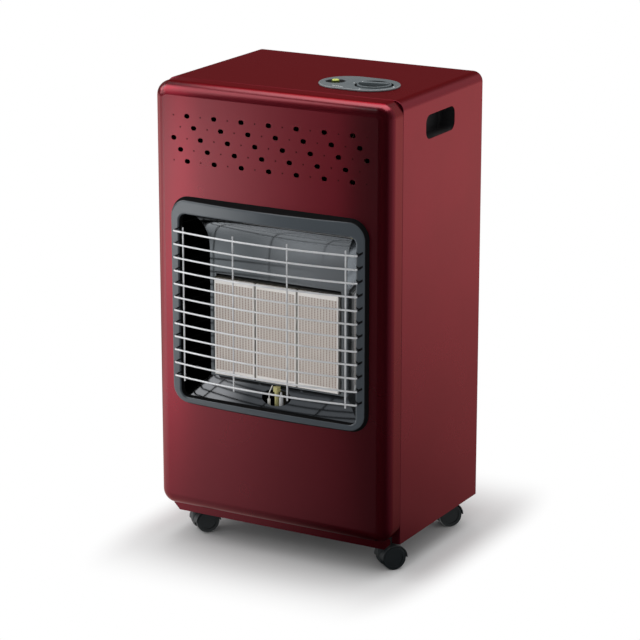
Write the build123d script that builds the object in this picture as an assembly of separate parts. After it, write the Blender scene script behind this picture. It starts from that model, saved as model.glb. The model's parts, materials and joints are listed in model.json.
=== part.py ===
from build123d import *
import math
import os

# Portable cabinet gas heater: a sheet-steel cabinet on four twin-wheel casters. Millimetres, +Z up,
# front towards -Y. While the pieces are drawn, y = 0 is the seam between front panel and casing wrap.

# --- cabinet ---
casing_width = 420.0
casing_top = 760.0
floor_gap = 50.0
wrap_depth = 272.0
sheet = 1.0
hem = 0.8
wrap_bend = 16.0
front_flange = 14.0
rear_flange = 24.0
foot_flange = 16.0

# --- front panel ---
panel_depth = 44.0
panel_lift = 10.0
panel_corner = 24.0
panel_roll = 20.0
apron_drop = 17.8
apron_setback = 30.0
apron_inset = 20.5
apron_mitre = 10.5
vent_width = 9.6
vent_height = 7.4
vent_pitch = 49.0
vent_row_pitch = 18.0
vent_top_margin = 51.0
vent_rows = ((-3.0, 7), (-2.75, 7), (-3.5, 8), (-3.25, 7), (-3.0, 7))

# --- window, bezel and reflector ---
window_margin = 52.0
window_rise = 194.0
window_drop = 206.0
window_corner = 12.0
bezel_border = 19.0
bezel_drop = 13.0
bezel_rise = 27.0
bezel_bow = 4.0
bezel_corner = 32.0
bezel_proud = 9.0
bezel_crown = 6.0
bezel_slant = 25.0
bezel_round = 3.0
collar_wall = 6.0
collar_gap = 1.0
polished_sheet = 0.8
reflector_depth = 26.0
reflector_splay = 34.0
reflector_side_margin = 11.3
floor_rise = 31.0
cove_drop = 60.0
reflector_flange = 24.0
flange_corner = 4.0
plaque_opening_gap = 0.4
plaque_top_gap = 4.0
quarter_turn = 90.0
pilot_hole_offset = 4.0
pilot_hole_half_length = 26.0
pilot_hole_half_width = 9.5
pilot_setback = 13.0

# --- guard ---
bar_radius = 1.5
upright_radius = 1.3
bar_count = 12
bar_rise = 36.0
bar_drop = 26.4
bar_end_inset = 6.0
bar_standoff = 9.0
bar_bow = 15.0
bar_end_bend = 4.0
bar_seat = 6.0
seat_gap = 0.1
upright_count = 4
upright_pitch = 97.0
upright_overrun = 7.0
weld_gap = 0.02

# --- burner ---
plaque_thickness = 13.0
plaque_low_margin = 36.5
plaque_high_margin = 105.5
plaque_proud = 8.0
plaque_side_rim = 1.5
plaque_end_rim = 8.0
plaque_recess = 0.6
plaque_side_gap = 0.2
plaque_end_gap = 0.3
plaque_ledge = 3.0
head_wall = 0.8
head_end_wall = 1.6
head_depth = 34.0
head_rim_setback = 4.0
head_shell = 1.5
head_gap = 2.0
venturi_radius = 10.0
venturi_wall = 2.0
venturi_mouth = 13.0
venturi_mouth_wall = 1.2
venturi_bell = 12.0
venturi_length = 56.0
venturi_gap = 0.5
chassis_sheet = 1.2
chassis_side_gap = 13.0
chassis_skirt = 66.0
chassis_side_rise = 30.0
chassis_overrun = 21.6
chassis_foot = 11.0
manifold_height = 14.0
manifold_width = 20.0
manifold_drop = 18.6
manifold_overrun = 18.8
manifold_round = 2.0
injector_hex = 5.0
injector_hex_height = 9.6
injector_thread = 3.0
injector_thread_length = 7.0
injector_tip = 2.4
injector_height = 16.0
injector_bore = 0.5
thread_gap = 0.05
bore_end_gap = 1.0

# --- pilot ---
pilot_shelf_drop = 16.0
pilot_sheet = 1.0
pilot_shelf_half_width = 22.0
pilot_shelf_depth = 25.0
pilot_shelf_corner = 4.0
pilot_lip = 14.0
pilot_stud_hole = 1.5
pilot_hex = 5.2
pilot_hex_height = 10.0
pilot_tube = 3.6
pilot_offset = 4.8
pilot_rise = 41.0
pilot_cap_hex = 6.6
pilot_cap_height = 7.0
pilot_port = 1.6
pilot_port_drop = 5.0
pilot_port_length = 8.0
pilot_bore = 1.0
probe_offset = 15.0
probe_lead = 4.0
probe_foot_radius = 3.4
probe_foot_height = 33.0
probe_radius = 2.2
probe_neck_radius = 1.6
probe_tip_radius = 0.8
probe_rise = 42.0
probe_neck = 4.0
electrode_offset = -9.5
electrode_radius = 2.6
electrode_neck_radius = 1.8
electrode_rise = 25.0
electrode_taper = 2.0
electrode_wire = 0.8
electrode_tip_rise = 9.0
electrode_tip_bend = 3.0
electrode_tip_lean = 6.0
electrode_tip_climb = 13.0
electrode_wire_sunk = 2.0

# --- heat shield and valve shelf ---
pipe_room = 25.8
shelf_drop = 72.0
shelf_depth = 68.0
shelf_inset = 36.0
shelf_corner = 12.0
shield_shoulder = 60.0
shield_ear = 14.0
shield_foot = 16.0
shield_foot_inset = 30.0
shield_slot_length = 56.0
shield_slot_width = 7.0
shield_slot_pitch = 80.0
shield_slot_row_pitch = 20.0
shield_slot_drop = 88.0

# --- controls on the top ---
control_x = 118.0
button_x = 50.0
control_y = 78.0
plate_centre_x = 90.0
plate_centre_y = 82.0
plate_length = 132.0
plate_width = 95.0
plate_rise = 3.0
plate_edge = 2.2
plate_overlap = 4.0
plate_wall = 2.0
well_radius = 30.5
well_depth = 20.0
knob_radius = 27.0
knob_float = 5.0
knob_height = 17.0
knob_edge = 1.2
knob_bar = 9.0
knob_bar_inset = 3.0
knob_bar_rise = 2.5
knob_bar_edge = 1.5
knob_rim = 2.6
knob_scoop = 9.0
knob_scoop_round = 5.0
knob_roof = 6.0
knob_rest_angle = 12.0
spindle_radius = 4.0
spindle_flange = 2.0
spindle_flange_height = 2.2
spindle_foot_gap = 0.3
shaft_gap = 0.05
spindle_clearance = 1.0
dish_radius = 16.5
dish_depth = 5.0
button_radius = 6.2
button_gap = 0.3
button_rise = 2.6
button_dome = 2.4
button_spring_room = 14.0
igniter_radius = 10.0
igniter_flange = 2.5
igniter_flange_height = 3.0
igniter_floor = 22.0
igniter_top_gap = 0.5
valve_length = 46.0
valve_width = 36.0
valve_height = 34.0
valve_corner = 4.0
valve_wall = 3.0
valve_boss_radius = 5.0
valve_boss = 4.5
valve_inlet_radius = 7.0
valve_inlet = 6.5
valve_stud_radius = 3.0
valve_stud_inset = 6.0
valve_stud_rise = 3.0
pilot_port_place = (-12.0, 10.0)
feed_port_place = (12.0, 20.0)
plunger_radius = 9.0
plunger_height = 7.7
plunger_gap = 0.3
spring_wire = 1.0
spring_turns = 4
spring_inset = 1.5
spring_gap = 0.1
nozzle_radius = 4.0
nozzle_length = 26.0
nozzle_bore = 2.2
nozzle_hex = 7.5
nozzle_hex_length = 7.0
nozzle_shoulder = 1.0
nozzle_neck = 5.0
nozzle_barb = 1.2
nozzle_barb_rise = 1.0
nozzle_barb_fall = 3.0

# --- pipes and leads ---
feed_radius = 3.0
feed_bend = 8.0
feed_standoff = 14.8
feed_drop = 14.0
feed_overrun = 20.0
feed_setback = 9.0
pilot_pipe_radius = 1.4
pilot_pipe_bend = 8.0
pilot_pipe_standoff = 20.3
pilot_pipe_drop = 26.0
lead_radius = 1.4
lead_bend = 6.0
lead_standoff = 20.8
lead_drop = 20.0

# --- carrying handles ---
handle_y = 124.5
handle_drop = 55.0
handle_length = 98.0
handle_height = 38.0
handle_corner = 13.0
cup_wall = 1.5
cup_depth = 28.0
cup_rim = 6.0
cup_round = 6.0
cup_gap = 0.5

# --- base and casters ---
tray_gauge = 1.2
tray_wall = 26.0
tray_lip = 12.0
floor_slot_length = 60.0
floor_slot_width = 8.0
floor_slot_pitch = 36.0
floor_slot_rows = 5
floor_slot_x = 45.0
floor_slot_middle = 156.0
front_stem_inset = 37.0
front_stem_y = 11.0
rear_stem_inset = 47.0
rear_stem_margin = 42.0
stem_radius = 4.0
stem_collar = 8.0
stem_head = 7.0
stem_head_height = 2.5
stem_depth = 14.0
collar_float = 0.2
wheel_radius = 19.5
wheel_width = 11.5
wheel_round = 2.5
hub_dish = 1.2
hub_rim = 6.0
hub_wall = 2.4
caster_web = 10.0
side_gap = 0.5
tread_gap = 0.8
hood_wall = 1.4
web_foot = 9.0
caster_hub = 7.0
stem_boss = 3.4
stem_bore_depth = 15.0
caster_trail = 15.0
caster_heading = 52.0
axle_radius = 3.0
axle_inset = 2.5

# --- rear cover ---
cover_depth = 80.0
cover_sheet = 1.2
cover_overlap = 12.0
cover_margin = 16.0
cover_inset = 2.0
cover_corner = 46.0
cover_rim_corner = 16.0
cover_slant = 28.0
cover_round = 8.0
slot_length = 110.0
slot_height = 7.0
slot_x = 62.0
slot_pitch = 20.0
slot_rows = 7
slot_drop = 60.0
grip_length = 100.0
grip_height = 26.0
grip_drop = 150.0
stud_low = 70.0
stud_high = 110.0
stud_radius = 3.0
stud_head = 5.0
stud_head_height = 2.0
stud_neck = 6.0
grommet_radius = 6.0
grommet_wall = 1.6
grommet_height = 3.0
grommet_gap = 0.1

# --- fasteners ---
screw_radius = 2.0
screw_gap = 0.1
screw_head = 4.0
screw_head_height = 2.4
screw_head_round = 1.2
panel_screw_length = 9.0
panel_screw_margin = 60.0
bezel_screw_length = 6.0
bezel_screw_side = 6.3
bezel_screw_end = 8.0

# --- places worked out from the sizes above ---
cut = 1.0
plane_slack = 1e-4
half_width = casing_width / 2
inner_half_width = half_width - sheet
panel_low = floor_gap + panel_lift
face_y = -panel_depth
inner_face_y = face_y + sheet
window_half_width = half_width - window_margin
window_low = panel_low + window_rise
window_high = casing_top - window_drop
window_height = window_high - window_low
window_middle = (window_low + window_high) / 2
reflector_front_y = inner_face_y
reflector_back_y = reflector_front_y + reflector_depth
flange_back_y = reflector_front_y + polished_sheet
pilot_y = reflector_front_y + pilot_setback
probe_y = pilot_y - probe_lead
bar_y = face_y - bezel_proud - bar_standoff
bar_seat_y = face_y - bezel_proud + bar_seat
bar_half_span = window_half_width + bar_end_inset
bar_curve = (bar_half_span ** 2 + bar_bow ** 2) / (2 * bar_bow)
bar_low = window_low + bar_rise
bar_high = window_high - bar_drop
bar_pitch = (bar_high - bar_low) / (bar_count - 1)
guard_front_y = bar_y - bar_bow - bar_radius
cover_back_y = wrap_depth + cover_sheet + cover_depth
depth_centre = (guard_front_y + cover_back_y) / 2
plaque_height = window_height - plaque_low_margin - plaque_high_margin
plaque_z = window_low + plaque_low_margin + plaque_height / 2
plaque_front_y = reflector_back_y - plaque_proud
plaque_back_y = plaque_front_y + plaque_thickness
head_front_y = plaque_front_y + head_rim_setback
head_back_y = head_front_y + head_depth
burner_half_width = window_half_width - reflector_splay - reflector_side_margin
head_width = 2 * (burner_half_width - head_gap) / 3
plaque_width = head_width - 2 * (plaque_side_gap + head_wall)
head_height = plaque_height + 2 * (plaque_end_gap + head_end_wall)
head_pitch = head_width + head_gap
head_low = plaque_z - head_height / 2
head_high = plaque_z + head_height / 2
venturi_y = head_back_y - venturi_mouth - venturi_gap
venturi_low = head_low - venturi_length
chassis_half_width = window_half_width + chassis_side_gap
chassis_low = window_low - chassis_skirt
chassis_side_low = window_low + chassis_side_rise
chassis_high = head_high + chassis_overrun
chassis_back_y = head_back_y + chassis_sheet
manifold_top = venturi_low - manifold_drop
manifold_half_length = head_pitch + manifold_overrun
pilot_shelf_z = window_low - pilot_shelf_drop
pilot_foot_z = pilot_shelf_z + pilot_sheet
shield_y = chassis_back_y + pipe_room
shelf_z = casing_top - shelf_drop
shelf_top = shelf_z + sheet
shelf_half_width = half_width - shelf_inset
handle_z = casing_top - handle_drop
tray_floor = floor_gap + sheet
tray_top = tray_floor + tray_gauge
tray_rim = tray_floor + tray_wall
plate_top = casing_top + plate_rise
well_floor = plate_top - well_depth
dish_floor = plate_top - dish_depth
knob_low = well_floor + knob_float
valve_top = shelf_top + valve_height
plunger_z = valve_top - valve_wall - plunger_gap - plunger_height
igniter_bore_z = shelf_top + igniter_floor
button_low = igniter_bore_z + button_spring_room
axle_z = wheel_radius
hood_inner = wheel_radius + tread_gap
hood_outer = hood_inner + hood_wall
hood_half_width = caster_web / 2 + side_gap + wheel_width
hood_top = axle_z + hood_outer
cover_low = floor_gap + cover_margin
cover_high = casing_top - cover_margin
rear_stem_y = wrap_depth - rear_stem_margin
stem_places = [(side * (half_width - inset), y)
               for inset, y in ((front_stem_inset, front_stem_y), (rear_stem_inset, rear_stem_y))
               for side in (-1, 1)]
burner_places = {"left": -head_pitch, "centre": 0.0, "right": head_pitch}
bar_seats = [(side * bar_half_span, bar_low + i * bar_pitch) for side in (-1, 1) for i in range(bar_count)]
stud_places = [(side * (half_width - rear_flange + cover_overlap / 2), z)
               for side in (-1, 1) for z in (cover_low + stud_low, cover_high - stud_high)]
panel_screw_places = [(side * (half_width - front_flange / 2 - sheet), z) for side in (-1, 1)
                      for z in (panel_low + panel_screw_margin, (panel_low + casing_top) / 2,
                                casing_top - panel_screw_margin)]
bezel_screw_places = [(side * (window_half_width + collar_wall + bezel_screw_side), z) for side in (-1, 1)
                      for z in (window_low + bezel_screw_end, window_high - bezel_screw_end)]
os.makedirs("parts", exist_ok=True)


def save(name, shape):
    """Write one piece, moved so that the heater stands centred on the origin."""
    export_step(Pos(0, -depth_centre, 0) * shape, f"parts/{name}.step")


def front_slab(face, y_front, y_back):
    """A front-view face (x across, z up) made solid between two depths."""
    plane = Plane((0, y_back, 0), x_dir=(1, 0, 0), z_dir=(0, -1, 0))
    return extrude(plane * face, y_back - y_front)


def side_slab(face, x_left, x_right):
    """A side-view face (y back, z up) made solid between two places across the cabinet."""
    plane = Plane((x_left, 0, 0), x_dir=(0, 1, 0), z_dir=(1, 0, 0))
    return extrude(plane * face, x_right - x_left)


def plan_slab(face, z_low, z_high):
    """A plan-view face made solid between two heights."""
    return extrude(Pos(0, 0, z_low) * face, z_high - z_low)


def block(x, y, z):
    """A box from three (low, high) pairs."""
    size = [high - low for low, high in (x, y, z)]
    return Pos(*(sum(pair) / 2 for pair in (x, y, z))) * Box(*size)


def post(radius, x, y, z_low, z_high):
    """An upright round bar."""
    return Pos(x, y, (z_low + z_high) / 2) * Cylinder(radius, z_high - z_low)


def cross_bar(radius, y_low, y_high):
    """A round bar along the depth, on the line x = z = 0."""
    return Pos(0, (y_low + y_high) / 2, 0) * Rot(90, 0, 0) * Cylinder(radius, y_high - y_low)


def turned(*profile):
    """A turned piece round the z axis from (radius, height) points, closed along the axis."""
    first, last = profile[0], profile[-1]
    return revolve(Plane.XZ * make_face(Polyline((0, first[1]), *profile, (0, last[1]), close=True)), Axis.Z)


def both_sides(shape):
    """A piece and its mirror image across the cabinet's middle."""
    return shape + mirror(shape, Plane.YZ)


def frame_outline(half, low, high, radius):
    """Front-view rectangle, rounded at all four corners."""
    return Pos(0, (low + high) / 2) * RectangleRounded(2 * half, high - low, radius)


def arch_outline(half, low, high, radius):
    """Front-view outline of the wrap: square at its foot, rounded at its top corners."""
    bend = FilletPolyline((-half, low), (-half, high), (half, high), (half, low), radius=radius)
    return make_face(bend.edges() + Line((half, low), (-half, low)).edges())


def window_outline(grow):
    """Front-view outline of the window, larger all round by grow."""
    return frame_outline(window_half_width + grow, window_low - grow, window_high + grow,
                         window_corner + grow)


def handle_outline(grow):
    """Side-view outline of a carrying handle, larger all round by grow."""
    size = RectangleRounded(handle_length + 2 * grow, handle_height + 2 * grow, handle_corner + grow)
    return Pos(handle_y, handle_z) * size


def plate_outline(inset):
    """Plan-view stadium of the control plate, smaller all round by inset."""
    stadium = SlotOverall(plate_length - 2 * inset, plate_width - 2 * inset)
    return Pos(plate_centre_x, plate_centre_y) * stadium


def in_plane(items, axis, place):
    """The edges or corners centred in one plane square to an axis."""
    return items.filter_by_position(axis, place - plane_slack, place + plane_slack)


def at_depth(shape, y):
    return in_plane(shape.edges(), Axis.Y, y)


def at_height(shape, z):
    return in_plane(shape.edges(), Axis.Z, z)


def drill_front(shape, places, radius, y_front, y_back):
    """A piece with round holes through it, front to back."""
    for x, z in places:
        shape -= front_slab(Pos(x, z) * Circle(radius), y_front - cut, y_back + cut)
    return shape


# --- cabinet ---

def casing_wrap():
    """One sheet bent over both sides and the top, with flanges turned in all round its edges."""
    wrap = front_slab(arch_outline(half_width, floor_gap, casing_top, wrap_bend), 0, wrap_depth)
    rims = [e for y in (0, wrap_depth) for e in at_depth(wrap, y) if e.bounding_box().max.Z > floor_gap + cut]
    wrap = fillet(rims, hem)
    bend = wrap_bend - sheet
    room = arch_outline(inner_half_width, tray_floor, casing_top - sheet, bend)
    wrap -= front_slab(room, sheet, wrap_depth - sheet)
    for flange, y in ((front_flange, 0), (rear_flange, wrap_depth - sheet)):
        mouth = arch_outline(half_width - flange, floor_gap - cut, casing_top - flange, bend / 2)
        wrap -= front_slab(mouth, y - cut, y + sheet + cut)
    gap = half_width - foot_flange
    wrap -= block((-gap, gap), (sheet, wrap_depth - sheet), (floor_gap - cut, tray_floor + cut))
    wrap -= side_slab(handle_outline(0), -half_width - cut, half_width + cut)
    wrap -= plan_slab(plate_outline(plate_overlap), casing_top - sheet - cut, casing_top + cut)
    wrap = drill_front(wrap, panel_screw_places, screw_radius + screw_gap, 0, sheet)
    return drill_front(wrap, stud_places, grommet_radius - grommet_wall, wrap_depth - sheet, wrap_depth)


def vent_places():
    """Centres of the vent holes: staggered rows, each moved on by a quarter of the pitch."""
    return [((start + i) * vent_pitch, casing_top - vent_top_margin - row * vent_row_pitch)
            for row, (start, count) in enumerate(vent_rows) for i in range(count)]


def front_panel():
    """A pressed tray: face, rolled edges, rear flange, and a mitred apron under its lower edge."""
    tray = front_slab(frame_outline(half_width, panel_low, casing_top, panel_corner), face_y, 0)
    tray = fillet(at_depth(tray, face_y), panel_roll)
    inside = frame_outline(inner_half_width, panel_low + sheet, casing_top - sheet, panel_corner - sheet)
    hollow = front_slab(inside, inner_face_y, -sheet)
    tray -= fillet(at_depth(hollow, inner_face_y), panel_roll - sheet)
    tray = fillet(at_depth(tray, 0), hem)
    mouth = frame_outline(half_width - front_flange, panel_low + front_flange, casing_top - front_flange,
                          panel_corner - front_flange)
    tray -= front_slab(mouth, -sheet - cut, cut)
    tray = with_apron(tray)
    tray -= front_slab(window_outline(collar_wall + collar_gap), face_y - cut, inner_face_y + cut)
    slots = [Pos(x, z) * SlotOverall(vent_width, vent_height) for x, z in vent_places()]
    tray -= front_slab(Sketch() + slots, face_y - cut, inner_face_y + cut)
    tray = drill_front(tray, panel_screw_places, screw_radius + screw_gap, -sheet, 0)
    return drill_front(tray, bezel_screw_places, screw_radius + screw_gap, face_y, inner_face_y)


def with_apron(tray):
    """The panel with its lower flange cut back and folded down into an apron with mitred ends."""
    apron_y = face_y + apron_setback
    foot = half_width - apron_inset
    root = foot + apron_mitre
    tray -= block((-root, root), (apron_y + sheet, cut), (panel_low - cut, panel_low + front_flange + cut))
    apron_low = panel_low - apron_drop
    level = apron_low + apron_mitre
    corners = ((-root, panel_low + sheet), (-root, level), (-foot, apron_low), (foot, apron_low),
               (root, level), (root, panel_low + sheet))
    return tray + front_slab(make_face(Polyline(*corners, close=True)), apron_y, apron_y + sheet)


def base_tray():
    """Shallow floor pan that carries the gas cylinder and the casters, slotted for air."""
    y_back = wrap_depth - sheet
    x_in = inner_half_width - tray_gauge
    tray = block((-inner_half_width, inner_half_width), (sheet, y_back), (tray_floor, tray_rim))
    tray -= block((-x_in, x_in), (sheet + tray_gauge, y_back - tray_gauge), (tray_top, tray_rim + cut))
    low_back = (y_back - 2 * tray_gauge, y_back + cut)
    tray -= block((-x_in, x_in), low_back, (tray_floor + tray_lip, tray_rim + cut))
    for row in range(floor_slot_rows):
        y = floor_slot_middle + (row - (floor_slot_rows - 1) / 2) * floor_slot_pitch
        for x in (-floor_slot_x, floor_slot_x):
            slot = Pos(x, y) * SlotOverall(floor_slot_length, floor_slot_width)
            tray -= plan_slab(slot, tray_floor - cut, tray_top + cut)
    for x, y in stem_places:
        tray -= post(stem_radius, x, y, tray_floor - cut, tray_top + cut)
    return tray


def heat_shield():
    """Upright sheet between burner and cylinder, folded at the top into the shelf for the controls."""
    depth = (shield_y, shield_y + sheet)
    shoulder = shelf_z - shield_shoulder
    edge = inner_half_width
    shield = block((-edge, edge), depth, (tray_top, shelf_top))
    shield -= both_sides(block((edge - tray_gauge, edge), depth, (tray_top, tray_rim)))
    shield -= both_sides(block((shelf_half_width, edge), depth, (shoulder, shelf_top)))
    back = shield_y + shelf_depth
    shelf = block((-shelf_half_width, shelf_half_width), (shield_y, back), (shelf_z, shelf_top))
    shield += fillet(at_depth(shelf, back).filter_by(Axis.Z), shelf_corner)
    shield += both_sides(block((edge - sheet, edge), (shield_y, shield_y + shield_ear), (tray_rim, shoulder)))
    foot = half_width - shield_foot_inset
    shield += block((-foot, foot), (shield_y, shield_y + shield_foot), (tray_top, tray_top + sheet))
    slots = [Pos((column - 1.5) * shield_slot_pitch, shelf_z - shield_slot_drop - row * shield_slot_row_pitch)
             * SlotOverall(shield_slot_length, shield_slot_width) for column in range(4) for row in range(3)]
    shield -= front_slab(Sketch() + slots, shield_y - cut, shield_y + sheet + cut)
    return shield


def handle_cup(side):
    """Moulded pocket behind a carrying slot, with a rim against the inside of the wrap."""
    x_out = inner_half_width
    x_in = x_out - cup_depth
    cup = side_slab(handle_outline(cup_gap + cup_wall), x_in, x_out)
    cup = fillet(in_plane(cup.edges(), Axis.X, x_in), cup_round)
    cup += side_slab(handle_outline(cup_gap + cup_wall + cup_rim), x_out - cup_wall, x_out)
    pocket = side_slab(handle_outline(cup_gap), x_in + cup_wall, x_out + cut)
    cup -= fillet(in_plane(pocket.edges(), Axis.X, x_in + cup_wall), cup_round - cup_wall)
    return cup if side > 0 else mirror(cup, Plane.YZ)


# --- window ---

def bowed_outline():
    """Front-view outline of the bezel, its lower edge bowed down."""
    half = window_half_width + bezel_border
    low = window_low - bezel_drop
    high = window_high + bezel_rise
    sides = Polyline((half, low), (half, high), (-half, high), (-half, low))
    sag = ThreePointArc((-half, low), (0, low - bezel_bow), (half, low))
    face = make_face(sides.edges() + sag.edges())
    return fillet(face.vertices(), bezel_corner)


def bezel():
    """Moulded frame round the window: slanted outside, crowned face, and a collar through the panel."""
    height = bezel_proud + bezel_crown
    plane = Plane((0, face_y, 0), x_dir=(1, 0, 0), z_dir=(0, -1, 0))
    ring = extrude(plane * bowed_outline(), height, taper=bezel_slant)
    chord = window_half_width + bezel_border
    crown_radius = (chord ** 2 + bezel_crown ** 2) / (2 * bezel_crown)
    ring &= post(crown_radius, 0, face_y - height + crown_radius, window_low - chord, window_high + chord)
    ring -= front_slab(window_outline(0), face_y - 2 * height, face_y + cut)
    front_edges = [e for e in ring.edges() if e.bounding_box().max.Y < face_y - bezel_crown]
    ring = fillet(front_edges, bezel_round)
    ring += front_slab(window_outline(collar_wall) - window_outline(0), face_y, inner_face_y)
    for x, z in bar_seats:
        ring -= front_slab(Pos(x, z) * Circle(bar_radius + seat_gap), face_y - height - cut, bar_seat_y)
    screw_end = flange_back_y - bezel_screw_length
    return drill_front(ring, bezel_screw_places, screw_radius, screw_end + cut, face_y)


def reflector_section(grow):
    """Side-view outline of the reflector's room: sloping floor, upright back and a cove above."""
    front = reflector_front_y
    back = reflector_back_y + grow
    low = window_low - grow
    high = window_high + grow
    lines = Polyline((front, high), (front, low), (back, low + floor_rise), (back, high - cove_drop))
    cove = EllipticalCenterArc((front, high - cove_drop), back - front, cove_drop,
                               arc_size=quarter_turn)
    return make_face(lines.edges() + cove.edges())


def reflector_plan(grow):
    """Plan outline between the reflector's splayed sides, run on through the thickness of its back."""
    wide = window_half_width + grow
    narrow = wide - reflector_splay * (reflector_depth + polished_sheet) / reflector_depth
    back = reflector_back_y + polished_sheet
    corners = ((-wide, reflector_front_y), (wide, reflector_front_y), (narrow, back), (-narrow, back))
    return make_face(Polyline(*corners, close=True))


def reflector_pieces():
    """Polished bent shell (floor, back and cove) and the two polished side plates beside it."""
    far = 2 * window_half_width
    low = window_low - window_half_width
    high = window_high + window_half_width
    y = reflector_front_y
    room = side_slab(reflector_section(0), -far, far)
    skin = side_slab(reflector_section(polished_sheet), -far, far)
    between = plan_slab(reflector_plan(0), low, high)
    around = plan_slab(reflector_plan(polished_sheet), low, high)
    outline = frame_outline(window_half_width + reflector_flange, window_low - reflector_flange,
                            window_high + reflector_flange, flange_corner)
    opening = Pos(0, window_middle) * Rectangle(2 * window_half_width, window_height)
    flange = front_slab(outline - opening, y, flange_back_y)
    middle = block((-window_half_width, window_half_width), (y - cut, flange_back_y + cut), (low, high))
    shell = (skin & between) - room + (flange & middle)
    half = burner_half_width + plaque_opening_gap
    shell -= block((-half, half), (reflector_back_y - cut, reflector_back_y + polished_sheet + cut),
                   (head_low - plaque_opening_gap, head_high + plaque_top_gap))
    hole = Pos(pilot_hole_offset, pilot_y) * Ellipse(pilot_hole_half_length, pilot_hole_half_width)
    shell -= plan_slab(hole, window_low - floor_rise, window_low + 2 * floor_rise)
    sides = (skin & around) - between + (flange - middle)
    shell = drill_front(shell, bezel_screw_places, screw_radius + screw_gap, y, flange_back_y)
    sides = drill_front(sides, bezel_screw_places, screw_radius + screw_gap, y, flange_back_y)
    sides -= shell
    depth = (y - cut, reflector_back_y + polished_sheet + cut)
    return shell, sides & block((-far, 0), depth, (low, high)), sides & block((0, far), depth, (low, high))


# --- guard ---

def wire_guard():
    """Bowed chrome bars, each bent back into the bezel at both ends, welded to four uprights."""
    reach = bar_half_span
    bow = ThreePointArc((-reach, bar_y), (0, bar_y - bar_bow), (reach, bar_y))
    left_leg = Line((-reach, bar_seat_y), (-reach, bar_y))
    right_leg = Line((reach, bar_y), (reach, bar_seat_y))
    bends = in_plane((Curve() + [left_leg, bow, right_leg]).vertices(), Axis.Y, bar_y)
    route = fillet(bends, bar_end_bend)
    bar = sweep(Plane((-reach, bar_seat_y, 0), z_dir=(0, -1, 0)) * Circle(bar_radius), path=route)
    wires = [Pos(0, 0, bar_low + i * bar_pitch) * bar for i in range(bar_count)]
    for i in range(upright_count):
        x = (i - (upright_count - 1) / 2) * upright_pitch
        rise = math.sqrt(bar_curve ** 2 - x ** 2)
        bar_depth = bar_y - bar_bow + bar_curve - rise
        behind = (bar_radius + upright_radius) * bar_curve / rise + weld_gap
        wires.append(post(upright_radius, x, bar_depth + behind, bar_low - upright_overrun,
                          bar_high + upright_overrun))
    return Compound(wires)


# --- burner ---

def burner_plaque(x):
    """Ceramic plaque: a bordered block whose fired face is slightly recessed inside its rim."""
    place = Pos(x, plaque_z)
    field = place * Rectangle(plaque_width - 2 * plaque_side_rim, plaque_height - 2 * plaque_end_rim)
    plaque = front_slab(place * Rectangle(plaque_width, plaque_height), plaque_front_y, plaque_back_y)
    return plaque - front_slab(field, plaque_front_y - cut, plaque_front_y + plaque_recess)


def burner_head(x):
    """Pressed mixing chamber behind a plaque, with its venturi tube and bell mouth below."""
    place = Pos(x, plaque_z)
    seat = place * Rectangle(plaque_width + 2 * plaque_side_gap, plaque_height + 2 * plaque_end_gap)
    chamber = place * Rectangle(plaque_width - 2 * plaque_ledge, plaque_height - 2 * plaque_ledge)
    head = front_slab(place * Rectangle(head_width, head_height), head_front_y, head_back_y)
    head -= front_slab(seat, head_front_y - cut, plaque_back_y)
    head -= front_slab(chamber, plaque_back_y - cut, head_back_y - head_shell)
    throat = venturi_radius - venturi_wall
    mouth = venturi_mouth - venturi_mouth_wall
    tube = turned((venturi_mouth, 0), (venturi_radius, venturi_bell), (venturi_radius, venturi_length))
    into_chamber = venturi_length + 2 * plaque_ledge
    bore = turned((mouth, -cut), (mouth, 0), (throat, venturi_bell), (throat, into_chamber))
    foot = Pos(x, venturi_y, venturi_low)
    return head + foot * tube - foot * bore


def burner_chassis():
    """Folded carrier: upright plate behind the heads, side walls forward to the reflector's flange."""
    x_out = chassis_half_width
    x_in = x_out - chassis_sheet
    carrier = block((-x_out, x_out), (flange_back_y, chassis_back_y), (chassis_low, chassis_high))
    front = (flange_back_y - cut, head_back_y)
    carrier -= block((-x_in, x_in), front, (chassis_low - cut, chassis_high + cut))
    carrier -= block((-x_out - cut, x_out + cut), front, (chassis_low - cut, chassis_side_low))
    foot = block((x_in, x_in + chassis_foot), (flange_back_y, flange_back_y + chassis_sheet),
                 (chassis_side_low, chassis_high))
    return carrier + both_sides(foot)


def gas_manifold():
    """Square distribution bar on the chassis with a drilled boss for each injector."""
    front = head_back_y - manifold_width
    bar = block((-manifold_half_length, manifold_half_length), (front, head_back_y),
                (manifold_top - manifold_height, manifold_top))
    bar = fillet(at_depth(bar, front).filter_by(Axis.X), manifold_round)
    for x in burner_places.values():
        bar -= post(injector_thread, x, venturi_y, manifold_top - injector_thread_length - bore_end_gap,
                    manifold_top + cut)
    return bar


def injectors():
    """Hexagonal brass jets screwed into the manifold, one under each venturi."""
    jets = []
    for x in burner_places.values():
        hexagon = Pos(x, venturi_y) * RegularPolygon(injector_hex, 6)
        jet = plan_slab(hexagon, manifold_top, manifold_top + injector_hex_height)
        jet += post(injector_tip, x, venturi_y, manifold_top, manifold_top + injector_height)
        low = manifold_top - injector_thread_length
        jet += post(injector_thread - thread_gap, x, venturi_y, low, manifold_top)
        jets.append(jet - post(injector_bore, x, venturi_y, low - cut, manifold_top + injector_height + cut))
    return Compound(jets)


# --- pilot ---

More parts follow.
